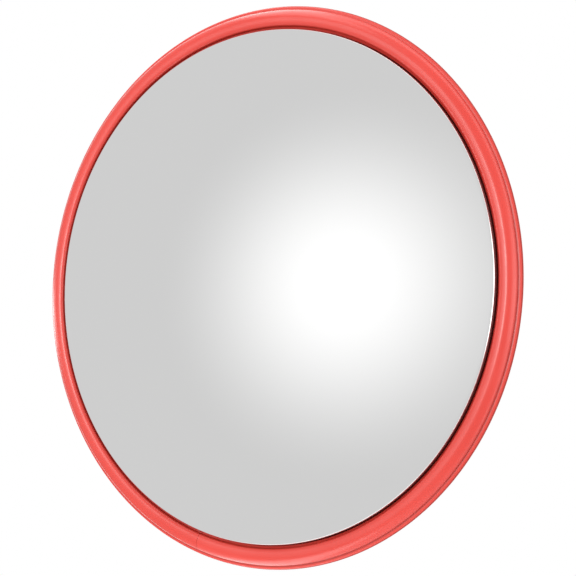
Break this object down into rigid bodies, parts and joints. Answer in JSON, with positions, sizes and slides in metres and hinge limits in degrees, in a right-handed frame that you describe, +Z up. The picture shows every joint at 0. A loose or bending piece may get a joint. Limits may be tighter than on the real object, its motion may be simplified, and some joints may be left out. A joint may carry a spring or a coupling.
{
  "type": "convex road mirror",
  "caption": "Round convex mirror with soft coral edge trim and dished back shell, on a wall bracket that pans and tilts, for seeing round a blind corner.",
  "frame": {"origin": "centre of the wall plate's back face, where it meets the wall", "axes": "+Y into the wall, mirror faces -Y, +Z up, +X to the right of someone who looks into the mirror"},
  "size_m": [0.45, 0.2626, 0.45],
  "materials": {
    "mirror_face": "back-silvered clear acrylic, glossy",
    "coral_trim": "soft PVC, satin gloss",
    "coral_shell": "moulded ABS, satin",
    "black_foam": "closed-cell foam, matte",
    "black_rubber": "matte",
    "white_nylon": "natural nylon",
    "friction_fibre": "vulcanised fibre, matte",
    "galvanised_steel": "hot-dip galvanised",
    "zinc_fasteners": "bright zinc plated",
    "cast_aluminium": "fine cast, satin"
  },
  "bodies": {
    "wall_mount": {"wall_plate": "galvanised_steel", "wall_arm": "galvanised_steel", "arm_gussets": "galvanised_steel", "arm_fork": "galvanised_steel", "pan_bolt": "zinc_fasteners", "pan_nut": "zinc_fasteners", "pan_washers": "zinc_fasteners", "pan_friction_washers": "friction_fibre"},
    "swivel": {"swivel_knuckle": "cast_aluminium", "pan_bush": "white_nylon", "tilt_bush": "white_nylon"},
    "mirror_head": {"mirror_lens": "mirror_face", "edge_trim": "coral_trim", "trim_joiner": "white_nylon", "lens_seal": "black_foam", "back_shell": "coral_shell", "vent_plugs": "black_rubber", "stiffener_plate": "galvanised_steel", "head_bracket": "galvanised_steel", "head_bolts": "zinc_fasteners", "head_washers": "zinc_fasteners", "head_nuts": "zinc_fasteners", "tilt_bolt": "zinc_fasteners", "tilt_nut": "zinc_fasteners", "tilt_washers": "zinc_fasteners", "tilt_friction_washers": "friction_fibre"}
  },
  "joints": [
    {"name": "pan", "type": "hinge", "parent": "wall_mount", "child": "swivel", "pos_m": [0, -0.125, 0], "axis": [0, 0, 1], "range_deg": [-40, 40]},
    {"name": "tilt", "type": "hinge", "parent": "swivel", "child": "mirror_head", "pos_m": [0, -0.165, 0], "axis": [1, 0, 0], "range_deg": [-20, 30]}
  ]
}
